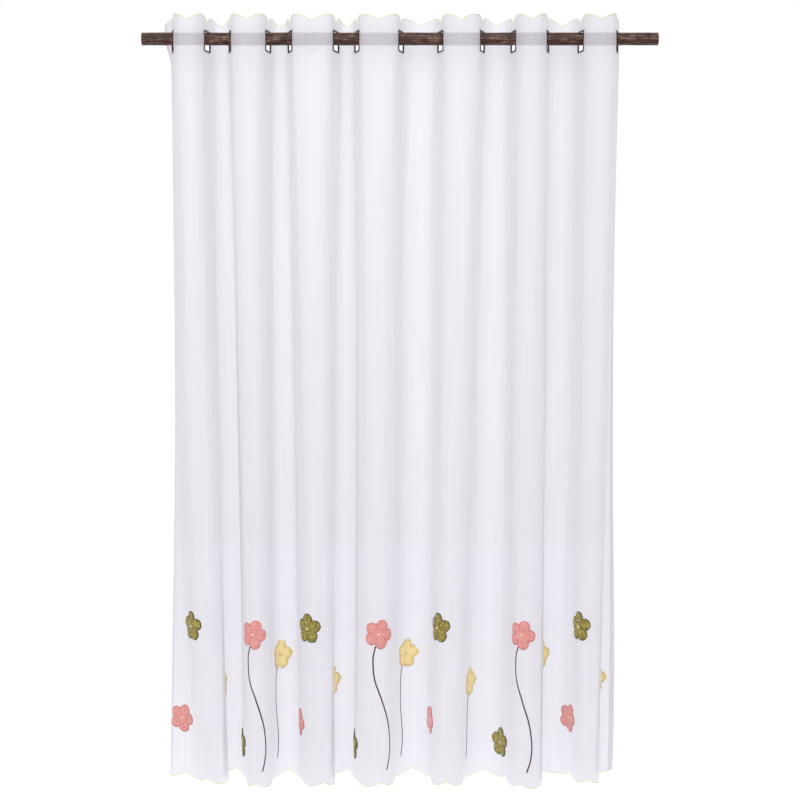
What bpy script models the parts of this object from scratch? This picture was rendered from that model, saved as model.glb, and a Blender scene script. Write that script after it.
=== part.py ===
# Sheer voile curtain with a scalloped heading and hem, hung by square eyelet rings on a round wood rod.
# The origin is the middle of the rod on its axis. X runs along the rod, -Y is the front, Z is up.
# The cloth and its flowers are laid out flat first, then every point is hung on the curtain's folds.

import bisect
import math
from collections import namedtuple

import bmesh
import bpy
from mathutils import Matrix, Vector

MM = 0.001

# Rod
ROD_DIAMETER = 28 * MM
ROD_LENGTH = 1118 * MM
ROD_SIDES = 24
SHARP_ANGLE = 40

# Eyelet rings: a neck through the cloth, with a flange on each side of it
RING_INNER = 40 * MM
RING_NECK = 42 * MM
RING_OUTER = 46 * MM
RING_THICKNESS = 3.2 * MM
RING_CORNER = 3 * MM

# Cloth, measured flat
CLEARANCE = 0.3 * MM
CLOTH_THICKNESS = 1 * MM
SCALLOP = 76 * MM
SCALLOP_COUNT = 28
TOP_NOTCH = 34.5 * MM
TOP_SCALLOP_RISE = 13.5 * MM
HEM_NOTCH = -1619 * MM
HEM_SCALLOP_DROP = 11 * MM
SCALLOP_ROUNDNESS = 0.75

# Folds. The rings keep the cloth flat near the rod, and it bends freely lower down.
RING_FLAT = 26 * MM
FLAT_UNTIL = 0.33
LEAN_POWER = 3
MARGIN_CREASE_START = 0.35
MARGIN_CREASE_END = 0.65
PANEL_STEPS = 76
SOLVER_ROUNDS = 30
SOLVER_STEP = 1e-5
SOLVER_EASE = 0.7
SOLVER_MISS = 1e-7
TINY = 1e-9

# Each row is one ring, from left to right, and the line of cloth that hangs below it, in mm and degrees.
# A lean is the angle between the rod and the cloth, and most of its change comes low down.
# The panel after the first ring bulges to the front.
Fold = namedtuple("Fold", "rod_x rod_lean hem_x hem_y hem_lean")
FOLDS = (
    Fold(rod_x=-492, rod_lean=80, hem_x=-480, hem_y=24, hem_lean=15),
    Fold(rod_x=-418, rod_lean=80, hem_x=-384, hem_y=4, hem_lean=122),
    Fold(rod_x=-368, rod_lean=80, hem_x=-343, hem_y=-3, hem_lean=60),
    Fold(rod_x=-286, rod_lean=80, hem_x=-281, hem_y=-11, hem_lean=82),
    Fold(rod_x=-238, rod_lean=76, hem_x=-218, hem_y=-13, hem_lean=76),
    Fold(rod_x=-139, rod_lean=76, hem_x=-151, hem_y=5, hem_lean=116),
    Fold(rod_x=-93, rod_lean=76, hem_x=-96, hem_y=-20, hem_lean=72),
    Fold(rod_x=2, rod_lean=76, hem_x=-9, hem_y=5, hem_lean=80),
    Fold(rod_x=88, rod_lean=76, hem_x=66, hem_y=5, hem_lean=80),
    Fold(rod_x=178, rod_lean=76, hem_x=142, hem_y=-3, hem_lean=82),
    Fold(rod_x=246, rod_lean=80, hem_x=234, hem_y=-3, hem_lean=66),
    Fold(rod_x=320, rod_lean=80, hem_x=314, hem_y=-31, hem_lean=78),
    Fold(rod_x=392, rod_lean=80, hem_x=380, hem_y=24, hem_lean=64),
    Fold(rod_x=470, rod_lean=80, hem_x=440, hem_y=20, hem_lean=92),
)

# The free margins beside the outer rings go straight back at the rod.
# Lower down they crease and turn, by this much at the hem.
Margin = namedtuple("Margin", "turn power")
LEFT_MARGIN = Margin(turn=-80, power=3)
RIGHT_MARGIN = Margin(turn=-105, power=2.5)

# The flat grid that carries the folds: columns beside each ring's centre, and heights from the rod's axis
COLUMN_OFFSETS = (30 * MM, 45 * MM, 60 * MM)
PLAIN_LEVELS = tuple(z * MM for z in (-100, -330, -640, -940, -1180, -1260, -1340, -1420, -1505, -1590))
GRID_MARGIN = 30 * MM
CUT_MERGE = 0.001 * MM

# Each row is one flower of the repeat: its place across in scallops, and down from the rod in mm
Flower = namedtuple("Flower", "name lobe drop size turn colour")
REPEAT_LOBES = 8
FLOWERS = (
    Flower(name="pink_low", lobe=0.93, drop=1496, size=64, turn=22, colour="pink"),
    Flower(name="green_top", lobe=1.60, drop=1281, size=64, turn=0, colour="olive"),
    Flower(name="yellow_low", lobe=3.30, drop=1414, size=62, turn=10, colour="yellow"),
    Flower(name="green_low", lobe=4.70, drop=1550, size=64, turn=0, colour="olive"),
    Flower(name="pink_high", lobe=5.95, drop=1292, size=66, turn=22, colour="pink"),
    Flower(name="yellow_high", lobe=7.72, drop=1357, size=62, turn=8, colour="yellow"),
)
PETALS = 5
PETAL_POINTS = 4
PETAL_REACH = 0.56
PETAL_RADIUS = 0.44
FLOWER_THICKNESS = 1 * MM

# Finishes: sRGB hex, roughness and metallic value
FINISHES = {
    "wood": ("6B4F45", 0.55, 0.0),
    "ring": ("4A3630", 0.45, 0.0),
    "voile": ("F0F0F6", 0.85, 0.0),
    "pink": ("DE8F96", 0.95, 0.0),
    "olive": ("7C7A32", 0.95, 0.0),
    "yellow": ("F3DE80", 0.95, 0.0),
}


def clear_scene():
    for item in list(bpy.data.objects):
        bpy.data.objects.remove(item)


def linear_colour(hex_colour):
    channels = []
    for start in (0, 2, 4):
        value = int(hex_colour[start : start + 2], 16) / 255
        channels.append(value / 12.92 if value <= 0.04045 else ((value + 0.055) / 1.055) ** 2.4)
    return (*channels, 1.0)


def make_material(name):
    hex_colour, roughness, metallic = FINISHES[name]
    material = bpy.data.materials.new(name)
    material.use_nodes = True
    shader = material.node_tree.nodes["Principled BSDF"]
    shader.inputs["Base Color"].default_value = linear_colour(hex_colour)
    shader.inputs["Roughness"].default_value = roughness
    shader.inputs["Metallic"].default_value = metallic
    return material


def make_object(name, bm, material):
    bmesh.ops.recalc_face_normals(bm, faces=bm.faces)
    mesh = bpy.data.meshes.new(name)
    bm.to_mesh(mesh)
    bm.free()
    mesh.materials.append(material)
    item = bpy.data.objects.new(name, mesh)
    bpy.context.collection.objects.link(item)
    return item


# Folds: each panel between two rings is a bend of fixed length, found from the places of its two ends


def ring_line(index):
    return (2 * index + 1) * SCALLOP


def ring_height():
    return ROD_DIAMETER / 2 + CLEARANCE - RING_INNER / 2


def hang_share(z):
    # 0 where the rings hold the cloth, 1 at the hem
    start = ring_height() - RING_OUTER / 2
    return max(0.0, (start - z) / (start - HEM_NOTCH))


def mix(low, high, share):
    return low + (high - low) * share


def fold_line(index, share):
    # Where the cloth below one ring lies at this share of the drop, and its direction there
    fold = FOLDS[index]
    x = mix(fold.rod_x, fold.hem_x, share) * MM
    y = mix(0, fold.hem_y, share) * MM
    towards_back = index % 2 == 1
    lean = math.radians(mix(fold.rod_lean, fold.hem_lean, share**LEAN_POWER))
    return Vector((x, y)), lean if towards_back else -lean


def flat_length(share):
    return RING_FLAT * max(0.0, 1 - share / FLAT_UNTIL)


def bend_angle(at, length, flat, start, end, swell, skew):
    free = length - 2 * flat
    part = min(1.0, max(0.0, (at - flat) / free))
    return mix(start, end, part) + swell * math.sin(2 * math.pi * part) + skew * math.sin(math.pi * part)


def walk(origin, length, steps, angle_at):
    # Points and directions along a line of fixed length, given its direction at each place
    step = length / steps
    at = origin.copy()
    points = [(0.0, at.copy(), angle_at(0.0))]
    for number in range(steps):
        middle = angle_at((number + 0.5) * step)
        at += step * Vector((math.cos(middle), math.sin(middle)))
        points.append(((number + 1) * step, at.copy(), angle_at((number + 1) * step)))
    return points


def panel(index, share):
    # Newton's method finds how much the bend swells and leans so that it ends on the next ring's line
    start_at, start = fold_line(index, share)
    end_at, end = fold_line(index + 1, share)
    length = 2 * SCALLOP
    flat = flat_length(share)

    def line(swell, skew):
        def angle_at(along):
            return bend_angle(along, length, flat, start, end, swell, skew)

        return walk(start_at, length, PANEL_STEPS, angle_at)

    swell, skew = 0.0, 0.0
    for _ in range(SOLVER_ROUNDS):
        reached = line(swell, skew)[-1][1]
        miss = reached - end_at
        by_swell = (line(swell + SOLVER_STEP, skew)[-1][1] - reached) / SOLVER_STEP
        by_skew = (line(swell, skew + SOLVER_STEP)[-1][1] - reached) / SOLVER_STEP
        det = by_swell.x * by_skew.y - by_swell.y * by_skew.x
        if miss.length < SOLVER_MISS or abs(det) < TINY:
            break
        swell -= SOLVER_EASE * (miss.x * by_skew.y - miss.y * by_skew.x) / det
        skew -= SOLVER_EASE * (by_swell.x * miss.y - by_swell.y * miss.x) / det
    return line(swell, skew)


def margin(share, right):
    index = len(FOLDS) - 1 if right else 0
    shape = RIGHT_MARGIN if right else LEFT_MARGIN
    at, angle = fold_line(index, share)
    turn = math.radians(shape.turn) * share**shape.power

    def angle_at(along):
        part = (along / SCALLOP - MARGIN_CREASE_START) / (MARGIN_CREASE_END - MARGIN_CREASE_START)
        part = min(1.0, max(0.0, part))
        eased = part * part * (3 - 2 * part)
        return angle + turn * eased + (0 if right else math.pi)

    points = walk(at, SCALLOP, PANEL_STEPS // 2, angle_at)
    if right:
        return [(ring_line(index) + along, place, way) for along, place, way in points]
    return [(SCALLOP - along, place, way - math.pi) for along, place, way in reversed(points)]


def whole_section(z):
    # The curtain's plan at one height: (place across the flat cloth, point, direction)
    share = hang_share(z)
    points = margin(share, right=False)
    for index in range(len(FOLDS) - 1):
        begin = ring_line(index)
        points += [(begin + along, place, way) for along, place, way in panel(index, share)[1:]]
    points += margin(share, right=True)[1:]
    return points


def read_section(section, across):
    places = [row[0] for row in section]
    right = min(max(bisect.bisect_left(places, across - TINY), 1), len(section) - 1)
    low, high = section[right - 1], section[right]
    share = min(1.0, max(0.0, (across - low[0]) / (high[0] - low[0])))
    return low[1].lerp(high[1], share), mix(low[2], high[2], share)


def make_columns():
    hole = RING_NECK / 2 + CLEARANCE
    beside = sorted((*COLUMN_OFFSETS, hole))
    columns = [0.0]
    for index in range(len(FOLDS)):
        centre = ring_line(index)
        columns += [centre - offset for offset in reversed(beside)]
        columns.append(centre)
        columns += [centre + offset for offset in beside]
        columns.append(centre + SCALLOP)
    return columns


def hole_levels():
    half = RING_NECK / 2 + CLEARANCE
    return ring_height() + half, ring_height() - half


COLUMNS = make_columns()
LEVELS = (
    TOP_NOTCH + GRID_MARGIN,
    *hole_levels(),
    *PLAIN_LEVELS,
    HEM_NOTCH - GRID_MARGIN,
)


def make_grid():
    # A point and the front's direction for each column at each level
    grid = []
    for z in LEVELS:
        section = whole_section(z)
        row = []
        for across in COLUMNS:
            place, way = read_section(section, across)
            row.append((Vector((place.x, place.y, z)), Vector((math.sin(way), -math.cos(way), 0))))
        grid.append(row)
    return grid


def find_cell(across, z):
    column = min(max(bisect.bisect_right(COLUMNS, across) - 1, 0), len(COLUMNS) - 2)
    level = 0
    while level < len(LEVELS) - 2 and z < LEVELS[level + 1]:
        level += 1
    return column, level


def hang(grid, across, z, out):
    # Carries a point of the flat cloth, and its distance in front of the cloth's middle, to where it hangs
    column, level = find_cell(across, z)
    part_across = (across - COLUMNS[column]) / (COLUMNS[column + 1] - COLUMNS[column])
    part_down = (LEVELS[level] - z) / (LEVELS[level] - LEVELS[level + 1])
    corners = []
    for down, side in ((0, 0), (0, 1), (1, 0), (1, 1)):
        corner, front = grid[level + down][column + side]
        corners.append(corner + out * front)
    top_left, top_right, low_left, low_right = corners
    # Each cell of the grid is two flat triangles, which meet from its top left to its low right
    if part_down > part_across:
        return top_left + part_down * (low_left - top_left) + part_across * (low_right - low_left)
    return top_left + part_across * (top_right - top_left) + part_down * (low_right - top_right)


def hang_plate(flat, grid, back, front):
    # Makes a closed sheet from a flat pattern, between two distances from the cloth's middle
    solid = bmesh.new()
    sides = []
    for out in (back, front):
        hung = {}
        for vert in flat.verts:
            hung[vert] = solid.verts.new(hang(grid, vert.co.x, vert.co.y, out))
        sides.append(hung)
    behind, before = sides
    for face in flat.faces:
        solid.faces.new([before[vert] for vert in face.verts])
        solid.faces.new([behind[vert] for vert in reversed(face.verts)])
    for edge in flat.edges:
        if edge.is_boundary:
            first, second = edge.verts
            solid.faces.new((before[first], before[second], behind[second], behind[first]))
    flat.free()
    return solid


def scallop(across):
    return abs(math.sin(math.pi * across / SCALLOP)) ** SCALLOP_ROUNDNESS


def make_cloth(grid, material):
    # The flat cloth: a grid with scallops along the top and the hem, and a square hole at each ring
    flat = bmesh.new()
    rows = []
    for level in range(len(LEVELS)):
        row = []
        for across in COLUMNS:
            z = LEVELS[level]
            if level == 0:
                z = TOP_NOTCH + TOP_SCALLOP_RISE * scallop(across)
            if level == len(LEVELS) - 1:
                z = HEM_NOTCH - HEM_SCALLOP_DROP * scallop(across)
            row.append(flat.verts.new((across, z, 0)))
        rows.append(row)
    hole_top = 1
    centres = {ring_line(index) for index in range(len(FOLDS))}
    for level in range(len(LEVELS) - 1):
        for column in range(len(COLUMNS) - 1):
            beside_centre = COLUMNS[column] in centres or COLUMNS[column + 1] in centres
            if level == hole_top and beside_centre:
                continue
            top_left, top_right = rows[level][column : column + 2]
            low_left, low_right = rows[level + 1][column : column + 2]
            flat.faces.new((top_left, low_left, low_right))
            flat.faces.new((top_left, low_right, top_right))
    loose = [vert for vert in flat.verts if not vert.link_faces]
    bmesh.ops.delete(flat, geom=loose, context="VERTS")
    half = CLOTH_THICKNESS / 2
    return make_object("voile_cloth", hang_plate(flat, grid, -half, half), material)


def petal_edge(angle):
    # Distance from a flower's middle to its edge, as a share of its radius
    spacing = 2 * math.pi / PETALS
    off_axis = (angle + spacing / 2) % spacing - spacing / 2
    side = PETAL_REACH * math.sin(off_axis)
    return PETAL_REACH * math.cos(off_axis) + math.sqrt(PETAL_RADIUS**2 - side**2)


def make_flower(flower, repeat, grid, material):
    centre = Vector(((flower.lobe + repeat * REPEAT_LOBES) * SCALLOP, -flower.drop * MM, 0))
    flat = bmesh.new()
    middle = flat.verts.new(centre)
    count = PETALS * PETAL_POINTS
    rim = []
    for number in range(count):
        angle = 2 * math.pi * (number - PETAL_POINTS / 2) / count
        reach = flower.size * MM / 2 * petal_edge(angle)
        turned = angle + math.radians(90 - flower.turn)
        rim.append(flat.verts.new(centre + reach * Vector((math.cos(turned), math.sin(turned), 0))))
    for first in range(0, count, PETAL_POINTS):
        petal = [rim[(first + step) % count] for step in range(PETAL_POINTS + 1)]
        flat.faces.new((middle, *petal))
    # The flower is cut along the cloth's own fold lines, so that it bends where the cloth does
    for column in COLUMNS:
        if abs(column - centre.x) < flower.size * MM / 2:
            cut_flat(flat, flat.faces, Vector((column, 0, 0)), Vector((1, 0, 0)))
    for level in LEVELS:
        if abs(level - centre.y) < flower.size * MM / 2:
            cut_flat(flat, flat.faces, Vector((0, level, 0)), Vector((0, 1, 0)))
    for face in list(flat.faces):
        inside = face.calc_center_median()
        column, level = find_cell(inside.x, inside.y)
        corner = Vector((COLUMNS[column], LEVELS[level], 0))
        diagonal = Vector((COLUMNS[column + 1], LEVELS[level + 1], 0)) - corner
        cut_flat(flat, [face], corner, Vector((-diagonal.y, diagonal.x, 0)))
    back = CLOTH_THICKNESS / 2 + CLEARANCE
    name = f"flower_{flower.name}_{repeat + 1}"
    return make_object(name, hang_plate(flat, grid, back, back + FLOWER_THICKNESS), material)


def cut_flat(flat, faces, place, normal):
    geometry = set(faces)
    for face in faces:
        geometry.update(face.verts)
        geometry.update(face.edges)
    bmesh.ops.bisect_plane(
        flat,
        geom=list(geometry),
        dist=CUT_MERGE,
        plane_co=place,
        plane_no=normal.normalized(),
    )


def make_ring(index, material):
    # A channel section swept round a square with cut corners: inner wall, flange, groove, flange
    inner, neck, outer = RING_INNER / 2, RING_NECK / 2, RING_OUTER / 2
    half = RING_THICKNESS / 2
    groove = CLOTH_THICKNESS / 2 + CLEARANCE
    section = (
        (inner, -half),
        (outer, -half),
        (outer, -groove),
        (neck, -groove),
        (neck, groove),
        (outer, groove),
        (outer, half),
        (inner, half),
    )
    bm = bmesh.new()
    loops = []
    for reach, depth in section:
        # The corner's cut is as far inside each wall as the walls are from each other
        cut = reach - RING_CORNER + (outer - reach) * (2 - math.sqrt(2))
        loop = []
        for quarter in range(4):
            turn = Matrix.Rotation(quarter * math.pi / 2, 2)
            for corner in ((reach, cut), (cut, reach)):
                across, up = turn @ Vector(corner)
                loop.append(bm.verts.new((across, depth, up)))
        loops.append(loop)
    count = len(loops[0])
    for number, loop in enumerate(loops):
        following = loops[(number + 1) % len(loops)]
        for corner in range(count):
            after = (corner + 1) % count
            bm.faces.new((loop[corner], loop[after], following[after], following[corner]))
    place, way = fold_line(index, 0.0)
    ring = make_object(f"eyelet_ring_{index + 1:02d}", bm, material)
    ring.location = (place.x, place.y, ring_height())
    ring.rotation_euler = (0, 0, way)
    return ring


def make_rod(material):
    bm = bmesh.new()
    lying = Matrix.Rotation(math.pi / 2, 4, "Y")
    bmesh.ops.create_cone(
        bm,
        cap_ends=True,
        segments=ROD_SIDES,
        radius1=ROD_DIAMETER / 2,
        radius2=ROD_DIAMETER / 2,
        depth=ROD_LENGTH,
        matrix=lying,
    )
    rod = make_object("rod", bm, material)
    rod.data.shade_smooth()
    rod.data.set_sharp_from_angle(angle=math.radians(SHARP_ANGLE))
    return rod


def main():
    clear_scene()
    materials = {name: make_material(name) for name in FINISHES}
    grid = make_grid()
    make_rod(materials["wood"])
    for index in range(len(FOLDS)):
        make_ring(index, materials["ring"])
    make_cloth(grid, materials["voile"])
    for flower in FLOWERS:
        repeat = 0
        while flower.lobe + repeat * REPEAT_LOBES < SCALLOP_COUNT:
            make_flower(flower, repeat, grid, materials[flower.colour])
            repeat += 1


main()
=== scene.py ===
import bisect
import math
import random
from collections import namedtuple

import bmesh
import bpy
import numpy as np
from mathutils import Matrix, Vector, noise


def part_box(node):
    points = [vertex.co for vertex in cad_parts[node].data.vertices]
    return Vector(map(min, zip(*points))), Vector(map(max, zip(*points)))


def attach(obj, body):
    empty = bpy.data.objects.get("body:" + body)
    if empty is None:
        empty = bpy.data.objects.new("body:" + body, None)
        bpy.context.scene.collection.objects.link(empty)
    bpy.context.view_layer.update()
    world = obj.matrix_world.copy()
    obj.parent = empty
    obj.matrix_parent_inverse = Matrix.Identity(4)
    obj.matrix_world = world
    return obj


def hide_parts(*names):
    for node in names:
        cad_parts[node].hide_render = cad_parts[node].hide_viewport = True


# Sheer voile curtain: sizes in metres, places on the flat cloth in millimetres
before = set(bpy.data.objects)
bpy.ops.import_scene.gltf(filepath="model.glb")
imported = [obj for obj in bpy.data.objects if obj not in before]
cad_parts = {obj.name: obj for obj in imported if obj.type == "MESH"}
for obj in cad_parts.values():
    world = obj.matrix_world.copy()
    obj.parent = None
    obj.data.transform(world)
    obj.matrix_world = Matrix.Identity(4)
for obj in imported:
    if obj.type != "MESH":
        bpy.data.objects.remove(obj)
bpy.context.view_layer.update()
mm = 0.001
print("frame loaded with", len(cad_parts), "nodes")


# Camera at the photo's viewing angle
cameraSet = {"place": (0.0, -3.9, -0.5317), "tiltDown": 3.695, "lens": 80.15, "sensor": 36.0}


def makeCamera(settings):
    data = bpy.data.cameras.new("photoCamera")
    data.lens = settings["lens"]
    data.sensor_width = settings["sensor"]
    camera = bpy.data.objects.new("photoCamera", data)
    camera.location = settings["place"]
    camera.rotation_euler = (math.radians(90 - settings["tiltDown"]), 0, 0)
    bpy.context.collection.objects.link(camera)
    bpy.context.scene.camera = camera


makeCamera(cameraSet)
print("camera placed")


# Helpers for colours, nodes and objects


def linearColour(hexColour):
    channels = [int(hexColour[at : at + 2], 16) / 255 for at in (0, 2, 4)]
    return tuple(c / 12.92 if c <= 0.04045 else ((c + 0.055) / 1.055) ** 2.4 for c in channels) + (1.0,)


def addNode(tree, kind, sockets=None, ramp=None, **settings):
    # One node: its settings, its ramp colours, and a value or a link for each named or numbered socket
    node = tree.nodes.new(kind)
    for name, value in settings.items():
        setattr(node, name, value)
    for number, (place, colour) in enumerate(ramp or ()):
        stops = node.color_ramp.elements
        stop = stops[number] if number < len(stops) else stops.new(place)
        stop.position = place
        stop.color = colour
    for name, value in (sockets or {}).items():
        if isinstance(value, bpy.types.NodeSocket):
            tree.links.new(value, node.inputs[name])
        else:
            node.inputs[name].default_value = value
    return node


def newMaterial(name):
    material = bpy.data.materials.new(name)
    material.use_nodes = True
    tree = material.node_tree
    tree.nodes.clear()
    return material, tree


def finishMaterial(tree, shader):
    addNode(tree, "ShaderNodeOutputMaterial", {"Surface": shader})


def newPiece(name, bm, slot, materials):
    mesh = bpy.data.meshes.new(name)
    bm.to_mesh(mesh)
    bm.free()
    for material in materials:
        mesh.materials.append(material)
    mesh.shade_smooth()
    piece = bpy.data.objects.new(name, mesh)
    bpy.context.collection.objects.link(piece)
    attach(piece, "root")
    return piece


def smoothRamp(value, low, high):
    part = min(1.0, max(0.0, (value - low) / (high - low)))
    return part * part * (3 - 2 * part)


# The cloth's folds, the same as in the frame: each row is one ring, and the line of cloth that hangs below it
Fold = namedtuple("Fold", "rodX rodLean hemX hemY hemLean")
folds = (
    Fold(rodX=-492, rodLean=80, hemX=-480, hemY=24, hemLean=15),
    Fold(rodX=-418, rodLean=80, hemX=-384, hemY=4, hemLean=122),
    Fold(rodX=-368, rodLean=80, hemX=-343, hemY=-3, hemLean=60),
    Fold(rodX=-286, rodLean=80, hemX=-281, hemY=-11, hemLean=82),
    Fold(rodX=-238, rodLean=76, hemX=-218, hemY=-13, hemLean=76),
    Fold(rodX=-139, rodLean=76, hemX=-151, hemY=5, hemLean=116),
    Fold(rodX=-93, rodLean=76, hemX=-96, hemY=-20, hemLean=72),
    Fold(rodX=2, rodLean=76, hemX=-9, hemY=5, hemLean=80),
    Fold(rodX=88, rodLean=76, hemX=66, hemY=5, hemLean=80),
    Fold(rodX=178, rodLean=76, hemX=142, hemY=-3, hemLean=82),
    Fold(rodX=246, rodLean=80, hemX=234, hemY=-3, hemLean=66),
    Fold(rodX=320, rodLean=80, hemX=314, hemY=-31, hemLean=78),
    Fold(rodX=392, rodLean=80, hemX=380, hemY=24, hemLean=64),
    Fold(rodX=470, rodLean=80, hemX=440, hemY=20, hemLean=92),
)
clothSet = {
    "scallop": 76.0,
    "scallops": 28,
    "topNotch": 34.5,
    "topRise": 13.5,
    "hemNotch": -1619.0,
    "hemDrop": 11.0,
    "holeHalf": 21.3,
    "ringFlat": 26.0,
    "flatUntil": 0.33,
    "leanPower": 3.0,
    "scallopRoundness": 0.75,
    "marginCrease": (0.35, 0.65),
    "leftMargin": (-80.0, 3.0),
    "rightMargin": (-105.0, 2.5),
    "holeSteps": 5,
    "plainSteps": 14,
    "headingFlare": 22.0,
    "sideHem": 12.0,
}

rodLow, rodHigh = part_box("rod")
rodRadius = (rodHigh.z - rodLow.z) / 2
ringBoxes = [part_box(f"eyelet_ring_{number + 1:02d}") for number in range(len(folds))]
ringHeight = (ringBoxes[0][0].z + ringBoxes[0][1].z) / 2 / mm
ringReach = (ringBoxes[0][1].z - ringBoxes[0][0].z) / 2 / mm
clothWidth = clothSet["scallop"] * clothSet["scallops"]


def ringPlace(index):
    return (2 * index + 1) * clothSet["scallop"]


def hangShare(z):
    # 0 where the rings hold the cloth, 1 at the hem
    start = ringHeight - ringReach
    return max(0.0, (start - z) / (start - clothSet["hemNotch"]))


def foldLine(index, share):
    fold = folds[index]
    x = fold.rodX + (fold.hemX - fold.rodX) * share
    y = fold.hemY * share
    lean = math.radians(fold.rodLean + (fold.hemLean - fold.rodLean) * share ** clothSet["leanPower"])
    return np.array((x, y)), lean if index % 2 else -lean


def bendLine(start, angles, length):
    # Points along a line of fixed length from the direction in the middle of each of its steps
    step = length / len(angles)
    x = np.concatenate(((0.0,), np.cumsum(np.cos(angles)))) * step + start[0]
    y = np.concatenate(((0.0,), np.cumsum(np.sin(angles)))) * step + start[1]
    return x, y


def panelLine(index, share):
    # Newton's method finds the swell and lean of the bend that end it on the next ring's line
    start, startAngle = foldLine(index, share)
    end, endAngle = foldLine(index + 1, share)
    length = 2 * clothSet["scallop"]
    flat = clothSet["ringFlat"] * max(0.0, 1 - share / clothSet["flatUntil"])
    steps = 152

    def anglesAt(along, swell, skew):
        part = np.clip((along - flat) / (length - 2 * flat), 0, 1)
        bent = startAngle + (endAngle - startAngle) * part
        return bent + swell * np.sin(2 * np.pi * part) + skew * np.sin(np.pi * part)

    middles = (np.arange(steps) + 0.5) * length / steps
    swell, skew, nudge = 0.0, 0.0, 1e-5

    def reached(swell, skew):
        x, y = bendLine(start, anglesAt(middles, swell, skew), length)
        return np.array((x[-1], y[-1]))

    for _ in range(30):
        at = reached(swell, skew)
        miss = at - end
        bySwell = (reached(swell + nudge, skew) - at) / nudge
        bySkew = (reached(swell, skew + nudge) - at) / nudge
        det = bySwell[0] * bySkew[1] - bySwell[1] * bySkew[0]
        if np.hypot(*miss) < 1e-4 or abs(det) < 1e-9:
            break
        swell -= 0.7 * (miss[0] * bySkew[1] - miss[1] * bySkew[0]) / det
        skew -= 0.7 * (bySwell[0] * miss[1] - bySwell[1] * miss[0]) / det
    x, y = bendLine(start, anglesAt(middles, swell, skew), length)
    along = np.arange(steps + 1) * length / steps
    return ringPlace(index) + along, x, y, anglesAt(along, swell, skew)


def marginLine(share, right, flare=0.0):
    index = len(folds) - 1 if right else 0
    turn, power = clothSet["rightMargin"] if right else clothSet["leftMargin"]
    start, angle = foldLine(index, share)
    low, high = clothSet["marginCrease"]
    length = clothSet["scallop"]
    steps = 76

    def anglesAt(along):
        part = np.clip((along / length - low) / (high - low), 0, 1)
        eased = part * part * (3 - 2 * part)
        return angle + math.radians(turn * share**power + flare) * eased + (0 if right else math.pi)

    middles = (np.arange(steps) + 0.5) * length / steps
    x, y = bendLine(start, anglesAt(middles), length)
    along = np.arange(steps + 1) * length / steps
    angles = anglesAt(along)
    if right:
        return ringPlace(index) + along, x, y, angles
    return (length - along)[::-1], x[::-1], y[::-1], angles[::-1] - math.pi


def wholeSection(z):
    # The curtain's plan at one height, from its left edge to its right edge
    share = hangShare(z)
    flare = clothSet["headingFlare"] * smoothRamp(z, -50, 15)
    lines = [marginLine(share, False, flare)]
    lines += [[values[1:] for values in panelLine(index, share)] for index in range(len(folds) - 1)]
    lines.append([values[1:] for values in marginLine(share, True)])
    return [np.concatenate([line[number] for line in lines]) for number in range(4)]


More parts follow.
